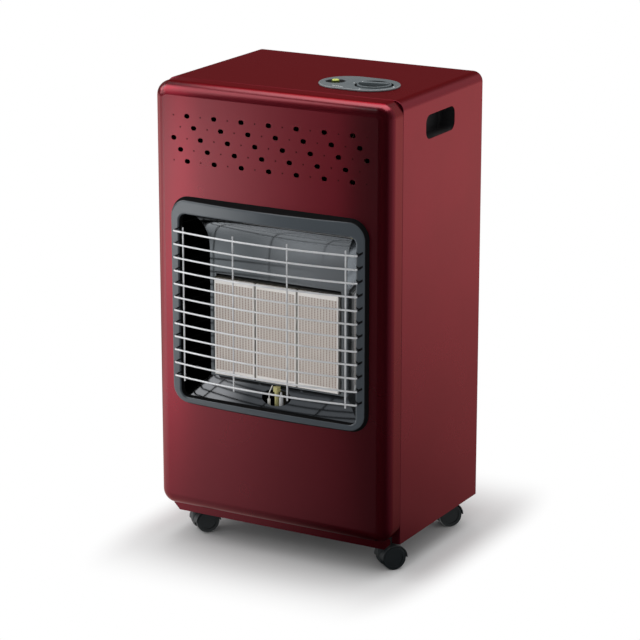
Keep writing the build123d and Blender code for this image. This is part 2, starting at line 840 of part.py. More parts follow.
def pilot_bracket():
    """Small angle plate under the reflector's floor that carries the pilot, probe and electrode."""
    y = flange_back_y
    width = (-pilot_shelf_half_width, pilot_shelf_half_width)
    shelf = block(width, (y, y + pilot_shelf_depth), (pilot_shelf_z, pilot_foot_z))
    shelf = fillet(at_depth(shelf, y + pilot_shelf_depth).filter_by(Axis.Z), pilot_shelf_corner)
    bracket = shelf + block(width, (y, y + pilot_sheet), (pilot_shelf_z, pilot_shelf_z + pilot_lip))
    for x, y in ((electrode_offset, pilot_y), (pilot_offset, pilot_y), (probe_offset, probe_y)):
        bracket -= post(pilot_stud_hole, x, y, pilot_shelf_z - cut, pilot_foot_z + cut)
    return bracket


def pilot_burner():
    """Brass hexagon with a hooded flame port."""
    top = pilot_foot_z + pilot_rise
    place = Pos(pilot_offset, pilot_y)
    body = plan_slab(place * RegularPolygon(pilot_hex, 6), pilot_foot_z, pilot_foot_z + pilot_hex_height)
    body += post(pilot_tube, pilot_offset, pilot_y, pilot_foot_z, top)
    body += plan_slab(place * RegularPolygon(pilot_cap_hex, 6), top, top + pilot_cap_height)
    port_z = top - pilot_port_drop
    body -= Pos(pilot_offset, 0, port_z) * cross_bar(pilot_port, pilot_y, pilot_y + pilot_port_length)
    return body - post(pilot_bore, pilot_offset, pilot_y, pilot_foot_z - cut, port_z)


def thermocouple():
    """Probe with a stepped steel tip, beside the pilot."""
    neck = probe_rise - probe_neck
    probe = turned((probe_foot_radius, 0), (probe_foot_radius, probe_foot_height),
                   (probe_radius, probe_foot_height), (probe_radius, neck), (probe_neck_radius, neck),
                   (probe_neck_radius, probe_rise - cut), (probe_tip_radius, probe_rise))
    return Pos(probe_offset, probe_y, pilot_foot_z) * probe


def spark_electrode():
    """White ceramic insulator with a wire tip that leans towards the pilot."""
    insulator = turned((electrode_radius, 0), (electrode_radius, electrode_rise),
                       (electrode_neck_radius, electrode_rise + electrode_taper))
    top = electrode_rise + electrode_taper
    bend = top + electrode_tip_rise
    points = ((0, 0, top - electrode_wire_sunk), (0, 0, bend),
              (electrode_tip_lean, 0, bend + electrode_tip_climb))
    tip = pipe(points, electrode_tip_bend, electrode_wire)
    return Pos(electrode_offset, pilot_y, pilot_foot_z) * (insulator + tip)


# --- controls ---

def control_plate():
    """Moulded plate on the top, with a round well for the knob and a shallow dish for the button."""
    plate = plan_slab(plate_outline(0), casing_top, plate_top)
    plate = fillet(at_height(plate, plate_top), plate_edge)
    under = well_floor - plate_wall
    plate += post(well_radius + plate_wall, control_x, control_y, under, casing_top)
    plate -= post(well_radius, control_x, control_y, well_floor, plate_top + cut)
    plate -= post(spindle_radius + spindle_clearance, control_x, control_y, under - cut, well_floor + cut)
    plate += post(dish_radius + plate_wall, button_x, control_y, dish_floor - plate_wall, casing_top)
    ball = (dish_radius ** 2 + dish_depth ** 2) / (2 * dish_depth)
    plate -= Pos(button_x, control_y, dish_floor + ball) * Sphere(ball)
    plate -= post(button_radius + button_gap, button_x, control_y, dish_floor - plate_wall - cut, plate_top)
    return plate


def control_knob():
    """Round knob with a raised bar across it and a scooped pocket on either side."""
    scoop_floor = knob_height - knob_scoop
    bar_top = knob_height + knob_bar_rise
    knob = fillet(at_height(post(knob_radius, 0, 0, 0, knob_height), knob_height), knob_edge)
    pocket = post(knob_radius - knob_rim, 0, 0, scoop_floor, bar_top + cut)
    pocket = fillet(at_height(pocket, scoop_floor), knob_scoop_round)
    half = knob_bar / 2
    knob -= pocket - block((-knob_radius, knob_radius), (-half, half), (0, bar_top + 2 * cut))
    reach = knob_radius - knob_bar_inset
    grip = block((-reach, reach), (-half, half), (knob_height - knob_edge, bar_top))
    knob += grip & post(reach, 0, 0, 0, bar_top + cut)
    knob = fillet(at_height(knob, bar_top), knob_bar_edge)
    knob -= post(spindle_radius, 0, 0, -cut, knob_height - knob_roof)
    return Pos(control_x, control_y, knob_low) * Rot(0, 0, knob_rest_angle) * knob


def valve_body():
    """Die-cast tap: hollow body on the shelf with a bored head, pipe bosses in front and an inlet behind."""
    half = valve_length / 2
    deep = valve_width / 2
    body = block((-half, half), (-deep, deep), (0, valve_height))
    body = fillet(body.edges().filter_by(Axis.Z), valve_corner)
    body -= post(plunger_radius + plunger_gap, 0, 0, valve_wall, valve_height - valve_wall)
    body -= post(spindle_radius + shaft_gap, 0, 0, valve_wall, valve_height + cut)
    for x, z in (pilot_port_place, feed_port_place):
        body += Pos(x, 0, z) * cross_bar(valve_boss_radius, -deep - valve_boss, -deep + valve_wall)
    body += Pos(0, 0, valve_height / 2) * cross_bar(valve_inlet_radius, deep - valve_wall, deep + valve_inlet)
    for x in (-half + valve_stud_inset, half - valve_stud_inset):
        body += post(valve_stud_radius, x, 0, valve_height, valve_height + valve_stud_rise)
    return Pos(control_x, control_y, shelf_top) * body


def hose_nozzle():
    """Brass hose tail on the tap's inlet: smooth end, one barb and a hexagon."""
    shoulder = nozzle_hex_length + nozzle_shoulder
    barb = shoulder + nozzle_neck
    crest = barb + nozzle_barb_rise
    tail = turned((nozzle_hex, 0), (nozzle_hex, nozzle_hex_length), (nozzle_radius, shoulder),
                  (nozzle_radius, barb), (nozzle_radius + nozzle_barb, crest),
                  (nozzle_radius, crest + nozzle_barb_fall), (nozzle_radius, nozzle_length))
    tail -= post(nozzle_bore, 0, 0, -cut, nozzle_length + cut)
    place = Pos(control_x, control_y + valve_width / 2 + valve_inlet, shelf_top + valve_height / 2)
    return place * Rot(-90, 0, 0) * tail


def valve_plunger():
    """Ring that pushes with the knob and lets the spindle turn inside it."""
    top = plunger_z + plunger_height
    ring = post(plunger_radius, control_x, control_y, plunger_z, top)
    return ring - post(spindle_radius + shaft_gap, control_x, control_y, plunger_z - cut, top + cut)


def valve_spindle():
    """Turned spindle: runs in the plunger and the tap's head and carries the knob."""
    flange_top = plunger_z - spindle_foot_gap
    low = flange_top - spindle_flange_height
    spindle = post(spindle_radius, control_x, control_y, low, knob_low + knob_height - knob_roof)
    return spindle + post(spindle_radius + spindle_flange, control_x, control_y, low, flange_top)


def coil(radius, height):
    """Square-wire compression spring standing on z = 0, its ends ground flat."""
    rise = height - spring_wire
    path = Helix(rise / spring_turns, rise, radius)
    section = Plane((radius, 0, 0), x_dir=(1, 0, 0), z_dir=(0, 1, 0)) * Rectangle(spring_wire, spring_wire)
    return Pos(0, 0, spring_wire / 2) * sweep(section, path=path, is_frenet=True)


def valve_spring():
    """Return spring between the floor of the tap and the plunger."""
    low = shelf_top + valve_wall
    return Pos(control_x, control_y, low) * coil(plunger_radius - spring_inset, plunger_z - low - spring_gap)


def igniter_body():
    """Push-button spark generator: flanged barrel standing on the shelf under the plate."""
    top = dish_floor - plate_wall - igniter_top_gap
    flange = igniter_radius + igniter_flange
    body = post(igniter_radius, button_x, control_y, shelf_top, top)
    body += post(flange, button_x, control_y, shelf_top, shelf_top + igniter_flange_height)
    return body - post(button_radius + button_gap, button_x, control_y, igniter_bore_z, top + cut)


def igniter_button():
    """Domed push button on a long stem that slides in the igniter's barrel."""
    top = plate_top + button_rise
    return fillet(at_height(post(button_radius, button_x, control_y, button_low, top), top), button_dome)


def igniter_spring():
    """Return spring under the button's stem."""
    spring = coil(button_radius - spring_inset, button_low - igniter_bore_z - spring_gap)
    return Pos(button_x, control_y, igniter_bore_z) * spring


# --- pipes and leads ---

def pipe(points, bends, radius):
    """Round pipe along straight runs joined by tangent arcs."""
    route = FilletPolyline(*points, radius=bends)
    first = Vector(*points[0])
    along = Vector(*points[1]) - first
    return sweep(Plane(origin=first, z_dir=along) * Circle(radius), path=route)


def tap_port(place):
    """Where a pipe meets a front port of the tap."""
    x, z = place
    return control_x + x, control_y - valve_width / 2 - valve_boss, shelf_top + z


def feed_pipe():
    """Feed pipe: forward from the tap, down behind the chassis, under it and into the manifold's end."""
    x, y, z = tap_port(feed_port_place)
    y_drop = chassis_back_y + feed_standoff
    y_in = head_back_y - feed_setback
    z_in = manifold_top - manifold_height / 2
    under = chassis_low - feed_drop
    x_in = manifold_half_length + feed_overrun
    points = ((x, y, z), (x, y_drop, z), (x, y_drop, under), (x_in, y_in, under), (x_in, y_in, z_in),
              (manifold_half_length, y_in, z_in))
    return pipe(points, feed_bend, feed_radius)


def pilot_pipe():
    """Thin pipe from the tap to the pilot burner's foot."""
    x, y, z = tap_port(pilot_port_place)
    y_drop = chassis_back_y + pilot_pipe_standoff
    under = chassis_low - pilot_pipe_drop
    points = ((x, y, z), (x, y_drop, z), (x, y_drop, under),
              (pilot_offset, pilot_y, under), (pilot_offset, pilot_y, pilot_foot_z))
    return pipe(points, pilot_pipe_bend, pilot_pipe_radius)


def igniter_lead():
    """High-voltage lead from the igniter's foot to the electrode."""
    y_drop = chassis_back_y + lead_standoff
    under = chassis_low - lead_drop
    z = shelf_top + igniter_flange_height / 2
    points = ((button_x, control_y - igniter_radius - igniter_flange, z), (button_x, y_drop, z),
              (button_x, y_drop, under), (electrode_offset, pilot_y, under),
              (electrode_offset, pilot_y, pilot_foot_z))
    return pipe(points, lead_bend, lead_radius)


# --- base ---

def caster_stems():
    """Steel stems riveted through the base, with a bright collar that each caster turns under."""
    head_top = tray_top + stem_head_height
    stems = []
    for x, y in stem_places:
        stem = post(stem_radius, x, y, hood_top - stem_depth, head_top)
        stem += post(stem_collar, x, y, hood_top + collar_float, tray_floor)
        stems.append(stem + post(stem_head, x, y, tray_top, head_top))
    return Compound(stems)


def at_stem(index):
    """Frame of one caster: origin on the floor under its stem, +X towards the trailing side."""
    x, y = stem_places[index]
    return Pos(x, y, 0) * Rot(0, 0, caster_heading)


def caster_hood():
    """Centre web, stem boss and curved mudguard over both wheels, drawn round the axle."""
    half = hood_half_width
    web = caster_web / 2
    below = (-2 * hood_outer, 0)
    across = (-half - cut, half + cut)
    guard = cross_bar(hood_outer, -half, half) - cross_bar(hood_inner, -half - cut, half + cut)
    guard -= block((-2 * hood_outer, 2 * hood_outer), across, below)
    middle = cross_bar(hood_inner + hood_wall / 2, -web, web)
    middle -= block((-2 * hood_outer, 2 * hood_outer), across, (-2 * hood_outer, -web_foot))
    boss = post(stem_radius + stem_boss, -caster_trail, 0, 0, hood_outer)
    rib = block((-caster_trail, 0), (-web, web), (0, hood_outer - hood_wall))
    hood = guard + middle + boss + rib + cross_bar(caster_hub, -web, web)
    for side in (-1, 1):
        inside, outside = sorted((side * web, side * (half + cut)))
        hood -= cross_bar(hood_inner, inside, outside)
    hood -= post(stem_radius + shaft_gap, -caster_trail, 0, hood_outer - stem_bore_depth, hood_outer + cut)
    hood -= cross_bar(axle_radius, -half, half)
    return Pos(caster_trail, 0, axle_z) * hood


def caster_axle():
    """Short pin through the web that carries both wheels."""
    half = hood_half_width - axle_inset
    return Pos(caster_trail, 0, axle_z) * cross_bar(axle_radius, -half, half)


def caster_wheel(side):
    """Solid wheel with a rounded tread and a shallow dished face, blind-bored for the axle."""
    wheel = post(wheel_radius, 0, 0, 0, wheel_width)
    wheel = fillet(at_height(wheel, wheel_width) + at_height(wheel, 0), wheel_round)
    wheel -= post(wheel_radius - hub_rim, 0, 0, wheel_width - hub_dish, wheel_width + cut)
    wheel -= post(axle_radius + shaft_gap, 0, 0, -cut, wheel_width - hub_wall)
    start = caster_web / 2 + side_gap
    return Pos(caster_trail, 0, axle_z) * Rot(90 * side, 0, 0) * Pos(0, 0, start) * wheel


# --- rear cover ---

def cover_bulge(shrink, depth):
    """The raised part of the rear cover, or its hollow: slanted walls and a rounded back edge."""
    half = half_width - rear_flange - cover_inset - shrink
    outline = frame_outline(half, cover_low + shrink, cover_high - cover_overlap - shrink,
                            cover_corner - shrink)
    plane = Plane((0, wrap_depth, 0), x_dir=(-1, 0, 0), z_dir=(0, 1, 0))
    bulge = extrude(plane * outline, depth, taper=cover_slant)
    return fillet(at_depth(bulge, wrap_depth + depth), cover_round - shrink)


def rear_cover():
    """Pressed cover over the cylinder's room: flat rim, slanted walls, air slots and a hand hole."""
    rim = frame_outline(half_width - rear_flange + cover_overlap, cover_low - cover_overlap, cover_high,
                        cover_rim_corner)
    cover = front_slab(rim, wrap_depth, wrap_depth + cover_sheet)
    cover += cover_bulge(0, cover_depth + cover_sheet)
    cover -= cover_bulge(cover_sheet, cover_depth)
    holes = [Pos(0, casing_top - grip_drop) * SlotOverall(grip_length, grip_height)]
    middle = (cover_low + cover_high) / 2 - slot_drop
    for row in range(slot_rows):
        z = middle + (row - (slot_rows - 1) / 2) * slot_pitch
        holes += [Pos(x, z) * SlotOverall(slot_length, slot_height) for x in (-slot_x, slot_x)]
    back = wrap_depth + cover_depth
    cover -= front_slab(Sketch() + holes, back - cut, back + cover_sheet + cut)
    return drill_front(cover, stud_places, stud_radius, wrap_depth, wrap_depth + cover_sheet)


def cover_studs():
    """Quarter-turn studs riveted in the cover's rim; their necks sit in the grommets."""
    back = wrap_depth + cover_sheet
    studs = []
    for x, z in stud_places:
        stud = front_slab(Pos(x, z) * Circle(stud_radius), wrap_depth - stud_neck, back)
        studs.append(stud + front_slab(Pos(x, z) * Circle(stud_head), back, back + stud_head_height))
    return Compound(studs)


def cover_grommets():
    """Rubber rings in the wrap's rear flange that grip the cover's studs."""
    y = wrap_depth - sheet
    low = y - grommet_height
    rings = []
    for x, z in stud_places:
        ring = front_slab(Pos(x, z) * Circle(grommet_radius - grommet_wall), low, wrap_depth)
        ring += front_slab(Pos(x, z) * Circle(grommet_radius), low, y)
        bore = Pos(x, z) * Circle(stud_radius + grommet_gap)
        rings.append(ring - front_slab(bore, low - cut, wrap_depth + cut))
    return Compound(rings)


# --- fasteners ---

def screw_group(places, head_y, length):
    """Pan-head screws driven from behind, their heads against the plane y = head_y."""
    back = head_y + screw_head_height
    screws = []
    for x, z in places:
        head = front_slab(Pos(x, z) * Circle(screw_head), head_y, back)
        head = fillet(at_depth(head, back), screw_head_round)
        screws.append(head + front_slab(Pos(x, z) * Circle(screw_radius), head_y - length, head_y))
    return Compound(screws)


save("casing_wrap", casing_wrap())
save("front_panel", front_panel())
save("base_tray", base_tray())
save("heat_shield", heat_shield())
save("handle_cup_right", handle_cup(1))
save("handle_cup_left", handle_cup(-1))
save("bezel", bezel())
reflector_names = ("reflector_shell", "reflector_side_left", "reflector_side_right")
for name, piece in zip(reflector_names, reflector_pieces()):
    save(name, piece)
save("wire_guard", wire_guard())
for name, x in burner_places.items():
    save(f"burner_plaque_{name}", burner_plaque(x))
    save(f"burner_head_{name}", burner_head(x))
save("burner_chassis", burner_chassis())
save("gas_manifold", gas_manifold())
save("injectors", injectors())
save("pilot_bracket", pilot_bracket())
save("pilot_burner", pilot_burner())
save("thermocouple", thermocouple())
save("spark_electrode", spark_electrode())
save("feed_pipe", feed_pipe())
save("pilot_pipe", pilot_pipe())
save("igniter_lead", igniter_lead())
save("control_plate", control_plate())
save("control_knob", control_knob())
save("valve_body", valve_body())
save("hose_nozzle", hose_nozzle())
save("valve_plunger", valve_plunger())
save("valve_spindle", valve_spindle())
save("valve_spring", valve_spring())
save("igniter_body", igniter_body())
save("igniter_button", igniter_button())
save("igniter_spring", igniter_spring())
save("caster_stems", caster_stems())
for index, name in enumerate(("front_left", "front_right", "rear_left", "rear_right")):
    save(f"caster_hood_{name}", at_stem(index) * caster_hood())
    save(f"caster_axle_{name}", at_stem(index) * caster_axle())
    save(f"wheel_outer_{name}", at_stem(index) * caster_wheel(1))
    save(f"wheel_inner_{name}", at_stem(index) * caster_wheel(-1))
save("rear_cover", rear_cover())
save("cover_studs", cover_studs())
save("cover_grommets", cover_grommets())
save("panel_screws", screw_group(panel_screw_places, sheet, panel_screw_length))
save("bezel_screws", screw_group(bezel_screw_places, flange_back_y, bezel_screw_length))
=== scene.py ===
import json
import math

import bpy
import numpy as np
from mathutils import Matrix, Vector


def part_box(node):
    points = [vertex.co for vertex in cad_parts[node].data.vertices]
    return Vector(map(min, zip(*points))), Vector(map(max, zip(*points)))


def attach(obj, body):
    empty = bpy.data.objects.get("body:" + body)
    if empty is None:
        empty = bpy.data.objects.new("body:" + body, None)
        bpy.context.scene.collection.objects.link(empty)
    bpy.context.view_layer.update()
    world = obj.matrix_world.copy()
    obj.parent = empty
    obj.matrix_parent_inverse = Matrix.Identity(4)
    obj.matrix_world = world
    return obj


# Looks of the cabinet gas heater, in metres, +Z up, front towards -Y.

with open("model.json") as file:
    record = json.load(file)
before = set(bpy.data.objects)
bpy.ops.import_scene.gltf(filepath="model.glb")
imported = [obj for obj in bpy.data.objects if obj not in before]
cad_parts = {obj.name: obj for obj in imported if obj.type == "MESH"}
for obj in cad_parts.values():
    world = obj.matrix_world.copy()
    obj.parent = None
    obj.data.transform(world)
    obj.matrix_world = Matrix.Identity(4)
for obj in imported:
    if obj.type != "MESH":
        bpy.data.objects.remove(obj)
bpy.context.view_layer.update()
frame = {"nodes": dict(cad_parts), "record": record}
nodes = frame["nodes"]

# --- places on the heater that the added pieces and the masks need ---
mm = 0.001
wrap_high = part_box("casing_wrap")[1]
guard_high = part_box("wire_guard")[1]
plate_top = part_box("control_plate")[1].z
knob_low, knob_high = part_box("control_knob")
knob_centre = (knob_low + knob_high) / 2
button_low, button_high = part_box("igniter_button")
button_centre = (button_low + button_high) / 2
knob_set_back = 78.0 * mm                    # from the seam between the front panel and the wrap
knob_turned = math.radians(12.0)             # of the knob's grip bar, off the X axis
seam_y = knob_centre.y - knob_set_back
panel_face = seam_y - 44.0 * mm
bar_end_y = seam_y - 62.0 * mm               # where the guard's bars go into the bezel
bar_bend_x = guard_high.x - 1.5 * mm         # middle of the bend at the end of a bar
bar_low = 290.0 * mm                         # middles of the lowest and the highest bar
bar_high = 527.6 * mm
bar_count = 12
bar_pitch = (bar_high - bar_low) / (bar_count - 1)


# --- meshes ---

def add_piece(name, points, faces, body, material, smooth=True):
    """One mesh piece from an array of points and an array of faces, riding a body."""
    mesh = bpy.data.meshes.new(name)
    mesh.from_pydata(points.tolist(), [], faces.tolist())
    mesh.polygons.foreach_set("use_smooth", [smooth] * len(mesh.polygons))
    mesh.update()
    piece = bpy.data.objects.new(name, mesh)
    bpy.context.scene.collection.objects.link(piece)
    mesh.materials.append(material)
    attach(piece, body)
    return piece


def grid_faces(rows, columns, around=False):
    """Quads between neighbouring rows of points; around joins the last column to the first."""
    index = np.arange(rows * columns).reshape(rows, columns)
    right = np.roll(index, -1, axis=1) if around else index[:, 1:]
    left = index if around else index[:, :-1]
    quads = np.stack([left[:-1], right[:-1], right[1:], left[1:]], axis=-1)
    return quads.reshape(-1, 4)


def turned_forms(centres, profile, sides, across=(1, 0, 0), up=(0, 1, 0)):
    """Turned bodies at several centres: point = centre + r(s) (cos t across + sin t up) + h(s) out,
    where the profile gives (r, h) and out is across x up. Profile ends lie on the axis."""
    across, up = np.array(across, float), np.array(up, float)
    out = np.cross(across, up)
    t = np.linspace(0, 2 * math.pi, sides, endpoint=False)
    ring = np.cos(t)[:, None] * across + np.sin(t)[:, None] * up
    radius, height = np.array(profile, float).T
    body = radius[:, None, None] * ring[None] + height[:, None, None] * out
    faces = grid_faces(len(profile), sides, around=True)
    points = (np.asarray(centres, float)[:, None, None, None] + body[None]).reshape(-1, 3)
    step = len(profile) * sides
    shifts = np.arange(len(centres)) * step
    return points, (faces[None] + shifts[:, None, None]).reshape(-1, 4)


def closed_slab(x, z, front, back):
    """A thin slab facing -Y from a height grid: front[j, i] is the depth at (x_i, z_j). Each row runs over
    the front and returns along the flat back, and the first and last rows shut the ends."""
    x_round = np.concatenate([x[:1], x, x[-1:]])
    z_round = np.concatenate([z[:1], z, z[-1:]])
    depth = np.full((len(z_round), len(x_round)), back)
    depth[1:-1, 1:-1] = front
    points = np.stack([np.broadcast_to(x_round, depth.shape), depth,
                       np.broadcast_to(z_round[:, None], depth.shape)], axis=-1)
    return points.reshape(-1, 3), grid_faces(*depth.shape, around=True)


def add_attribute(piece, name, values):
    """A number at every point of a piece, for its material to read."""
    layer = piece.data.attributes.new(name, "FLOAT", "POINT")
    layer.data.foreach_set("value", np.asarray(values, np.float32).ravel())


# --- shader nodes ---

def feed(tree, socket, source):
    """Links a source into a socket, or sets the socket to a plain value."""
    if isinstance(source, bpy.types.NodeSocket):
        tree.links.new(source, socket)
    else:
        socket.default_value = source


def node(tree, kind, feeds=(), **settings):
    """A shader node with its settings, and each (socket, source) pair fed in."""
    made = tree.nodes.new(kind)
    for key, value in settings.items():
        setattr(made, key, value)
    for socket, source in feeds:
        feed(tree, made.inputs[socket], source)
    return made


def math_node(tree, operation, a, b=0.0, c=0.0, clamp=False):
    """One step of arithmetic on sockets or numbers."""
    made = node(tree, "ShaderNodeMath", ((0, a), (1, b), (2, c)), operation=operation)
    made.use_clamp = clamp
    return made.outputs[0]


def mix_colour(tree, mask, under, over):
    """One colour where the mask is 0 and another where it is 1; each is a socket or three numbers."""
    made = node(tree, "ShaderNodeMix", (("Factor", mask),), data_type="RGBA")
    for socket, source in ((6, under), (7, over)):
        plain = not isinstance(source, bpy.types.NodeSocket)
        feed(tree, made.inputs[socket], (*source, 1.0) if plain else source)
    return made.outputs[2]


def between(tree, value, low, high, low_value=0.0, high_value=1.0):
    """Eases from low_value at low to high_value at high; low may be above high."""
    return node(tree, "ShaderNodeMapRange", (("Value", value), ("From Min", low), ("From Max", high),
                                             ("To Min", low_value), ("To Max", high_value)),
                interpolation_type="SMOOTHSTEP").outputs[0]


def product(tree, *factors):
    """Several masks or levels multiplied."""
    joint = factors[0]
    for factor in factors[1:]:
        joint = math_node(tree, "MULTIPLY", joint, factor)
    return joint


def three_parts(tree, vector):
    """The X, Y and Z of a vector, as three sockets."""
    return node(tree, "ShaderNodeSeparateXYZ", ((0, vector),)).outputs


def at_place(tree):
    """The coordinates of the surface point, as three sockets."""
    return three_parts(tree, node(tree, "ShaderNodeTexCoord").outputs["Object"])


def facing(tree):
    """The direction that the surface faces, as the three cosines."""
    return three_parts(tree, node(tree, "ShaderNodeNewGeometry").outputs["Normal"])


def new_group(name, inputs, outputs):
    """An empty shader group with named sockets; returns the group, its entry and its exit."""
    group = bpy.data.node_groups.new(name, "ShaderNodeTree")
    for label, kind, value in inputs:
        socket = group.interface.new_socket(label, in_out="INPUT", socket_type=kind)
        socket.default_value = value
    for label, kind in outputs:
        group.interface.new_socket(label, in_out="OUTPUT", socket_type=kind)
    entry = group.nodes.new("NodeGroupInput")
    leave = group.nodes.new("NodeGroupOutput")
    return group, entry, leave


# --- finishes ---

house_dust = (0.62, 0.58, 0.55)


def finish_group():
    """Colour mottle, fine grain and dust: what every painted, moulded or plated face shares."""
    inputs = [("Colour", "NodeSocketColor", (0.5, 0.5, 0.5, 1)),
              ("Second Colour", "NodeSocketColor", (0.4, 0.4, 0.4, 1)),
              ("Mottle Scale", "NodeSocketFloat", 6.0),
              ("Roughness", "NodeSocketFloat", 0.4),
              ("Rough Spread", "NodeSocketFloat", 0.06),
              ("Grain Scale", "NodeSocketFloat", 900.0),
              ("Grain Depth", "NodeSocketFloat", 0.00002),
              ("Stretch", "NodeSocketVector", (1, 1, 1)),
              ("Dust", "NodeSocketFloat", 0.1)]
    outputs = [("Colour", "NodeSocketColor"),
               ("Roughness", "NodeSocketFloat"),
               ("Normal", "NodeSocketVector")]
    tree, entry, leave = new_group("face_finish", inputs, outputs)
    given = entry.outputs
    place = node(tree, "ShaderNodeTexCoord").outputs["Object"]
    broad = node(tree, "ShaderNodeTexNoise", (("Vector", place), ("Scale", given["Mottle Scale"]),
                                              ("Detail", 4.0), ("Roughness", 0.6))).outputs["Fac"]
    spread = node(tree, "ShaderNodeMapRange", (("Value", broad), ("From Min", 0.35),
                                               ("From Max", 0.65))).outputs[0]
    colour = mix_colour(tree, spread, given["Colour"], given["Second Colour"])
    drawn = node(tree, "ShaderNodeVectorMath", ((0, place), (1, given["Stretch"])), operation="MULTIPLY")
    fine = node(tree, "ShaderNodeTexNoise", (("Vector", drawn.outputs[0]), ("Scale", given["Grain Scale"]),
                                             ("Detail", 3.0), ("Roughness", 0.55))).outputs["Fac"]
    shade = node(tree, "ShaderNodeMapRange", (("Value", fine), ("From Min", 0.3), ("From Max", 0.7),
                                              ("To Min", 0.94), ("To Max", 1.06))).outputs[0]
    flecked = node(tree, "ShaderNodeVectorMath", ((0, colour), ("Scale", shade)), operation="SCALE")
    upward = node(tree, "ShaderNodeMapRange", (("Value", facing(tree)[2]), ("From Min", 0.7),
                                               ("From Max", 1.0))).outputs[0]
    settled = math_node(tree, "MULTIPLY", upward, spread)
    dusty = math_node(tree, "MULTIPLY", settled, given["Dust"], clamp=True)
    tree.links.new(mix_colour(tree, dusty, flecked.outputs[0], house_dust), leave.inputs["Colour"])
    rough = math_node(tree, "MULTIPLY_ADD", broad, given["Rough Spread"], given["Roughness"])
    tree.links.new(math_node(tree, "MULTIPLY_ADD", dusty, 0.5, rough), leave.inputs["Roughness"])
    grain = node(tree, "ShaderNodeBump", (("Height", fine), ("Distance", given["Grain Depth"]),
                                          ("Strength", 1.0)))
    tree.links.new(grain.outputs[0], leave.inputs["Normal"])
    return tree


finish = finish_group()


def material(name, colour, second=None, mottle=6.0, rough=0.4, spread=0.06, grain=900.0, depth=0.02,
             stretch=(1, 1, 1), dust=0.06, **shader):
    """A finish: the shared group feeds colour, roughness and normal, constants sit on the shader. The
    grain's depth is in millimetres."""
    made = bpy.data.materials.new(name)
    made.use_nodes = True
    tree = made.node_tree
    principled = tree.nodes["Principled BSDF"]
    second = second or tuple(0.82 * c for c in colour)
    face = node(tree, "ShaderNodeGroup", node_tree=finish)
    values = {"Colour": (*colour, 1), "Second Colour": (*second, 1), "Mottle Scale": mottle,
              "Roughness": rough, "Rough Spread": spread, "Grain Scale": grain, "Grain Depth": depth * mm,
              "Stretch": stretch, "Dust": dust}
    for key, value in values.items():
        face.inputs[key].default_value = value
    tree.links.new(face.outputs["Colour"], principled.inputs["Base Color"])
    tree.links.new(face.outputs["Roughness"], principled.inputs["Roughness"])
    tree.links.new(face.outputs["Normal"], principled.inputs["Normal"])
    for key, value in shader.items():
        principled.inputs[key.replace("_", " ")].default_value = value
    return made


def burgundy(name, coat, colour, second):
    """Stoved metallic paint under lacquer. The wrap's copy has thinner lacquer and a pinker tone than the
    panel's, set for how the light falls on each: painted light.
    """
    return material(name, colour, second, mottle=5, rough=0.25, grain=1400, depth=0.012,
                    dust=0.0, Metallic=0.95, Coat_Weight=coat, Coat_Roughness=0.18, Coat_IOR=1.55,
                    Specular_Tint=(1.0, 0.12, 0.17, 1))


